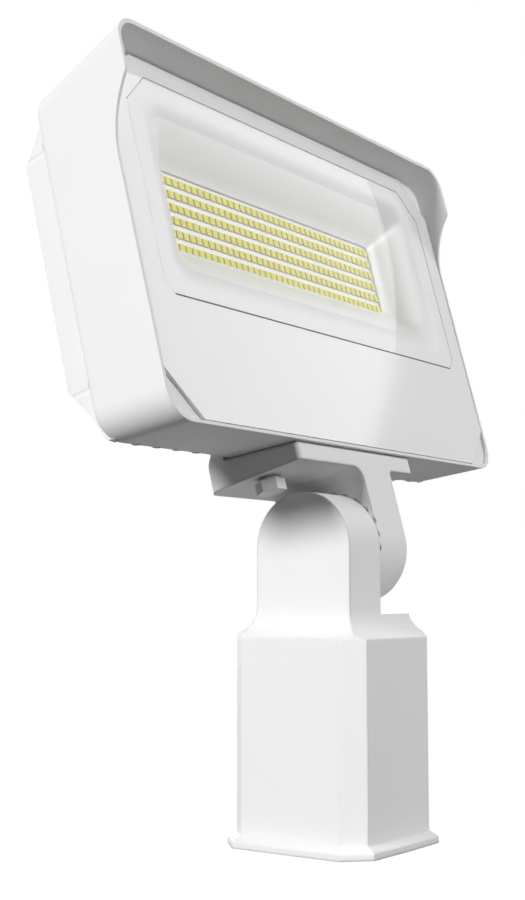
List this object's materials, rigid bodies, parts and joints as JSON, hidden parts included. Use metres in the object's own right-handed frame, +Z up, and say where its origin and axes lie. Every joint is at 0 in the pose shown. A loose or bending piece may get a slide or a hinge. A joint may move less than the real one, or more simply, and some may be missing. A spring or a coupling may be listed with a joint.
{
  "type": "flood light",
  "caption": "Outdoor LED flood light: hooded rectangular head with a clear lens and finned back, on a toothed tilting knuckle over a slipfitter socket for a round pole tenon.",
  "frame": {"origin": "centre of the slipfitter's socket mouth, where the pole tenon enters", "axes": "+Z up along the pole tenon, -Y the way the light faces, +X to the right seen from behind the light, along the tilt axis"},
  "size_m": [0.3258, 0.1376, 0.4201],
  "materials": {
    "white_paint": "smooth white powder coat on die-cast aluminium",
    "painted_bolt": "white painted steel",
    "stainless": "satin",
    "zinc_steel": "zinc plated",
    "black_rubber": "matt",
    "grey_rubber": "silicone, matt",
    "white_silicone": "silicone, matt",
    "lens_glass": "clear, polished",
    "reflector_white": "white, satin",
    "board_white": "white solder mask on an aluminium core",
    "phosphor": "yellow phosphor in white cases",
    "white_plastic": "matt",
    "lead_jacket": "insulated wire",
    "driver_case": "drawn case",
    "surge_case": "potted box",
    "terminal_plastic": "matt",
    "earth_brass": "plain",
    "vent_plastic": "matt"
  },
  "bodies": {
    "slipfitter": {"slipfitter_casting": "white_paint", "knuckle_seal": "black_rubber", "pivot_insert": "zinc_steel", "pivot_bolt": "stainless", "pivot_washer": "stainless", "spring_washer": "stainless"},
    "lower_set_screw": {"set_screw_lower": "stainless"},
    "upper_set_screw": {"set_screw_upper": "stainless"},
    "head": {"head_housing": "white_paint", "front_frame": "white_paint", "frame_gasket": "grey_rubber", "frame_screws": "stainless", "lens": "lens_glass", "lens_seal": "white_silicone", "reflector": "reflector_white", "led_board": "board_white", "led_chips": "phosphor", "led_board_screws": "stainless", "led_connector": "white_plastic", "led_leads": "lead_jacket", "driver": "driver_case", "driver_screws": "stainless", "surge_protector": "surge_case", "terminal_block": "terminal_plastic", "earth_screw": "earth_brass", "breather_vent": "vent_plastic", "knuckle_bracket": "white_paint", "bracket_gasket": "grey_rubber", "bracket_bolts": "painted_bolt", "wire_grommet": "black_rubber"}
  },
  "joints": [
    {"name": "head_tilt", "type": "hinge", "parent": "slipfitter", "child": "head", "pos_m": [0, 0, 0.16], "axis": [1, 0, 0], "range_deg": [-75, 105]},
    {"name": "lower_screw_slide", "type": "slide", "parent": "slipfitter", "child": "lower_set_screw", "axis": [0, 1, 0], "range_m": [-0.0013, 0.005]},
    {"name": "upper_screw_slide", "type": "slide", "parent": "slipfitter", "child": "upper_set_screw", "axis": [0, 1, 0], "range_m": [-0.0013, 0.005]}
  ]
}
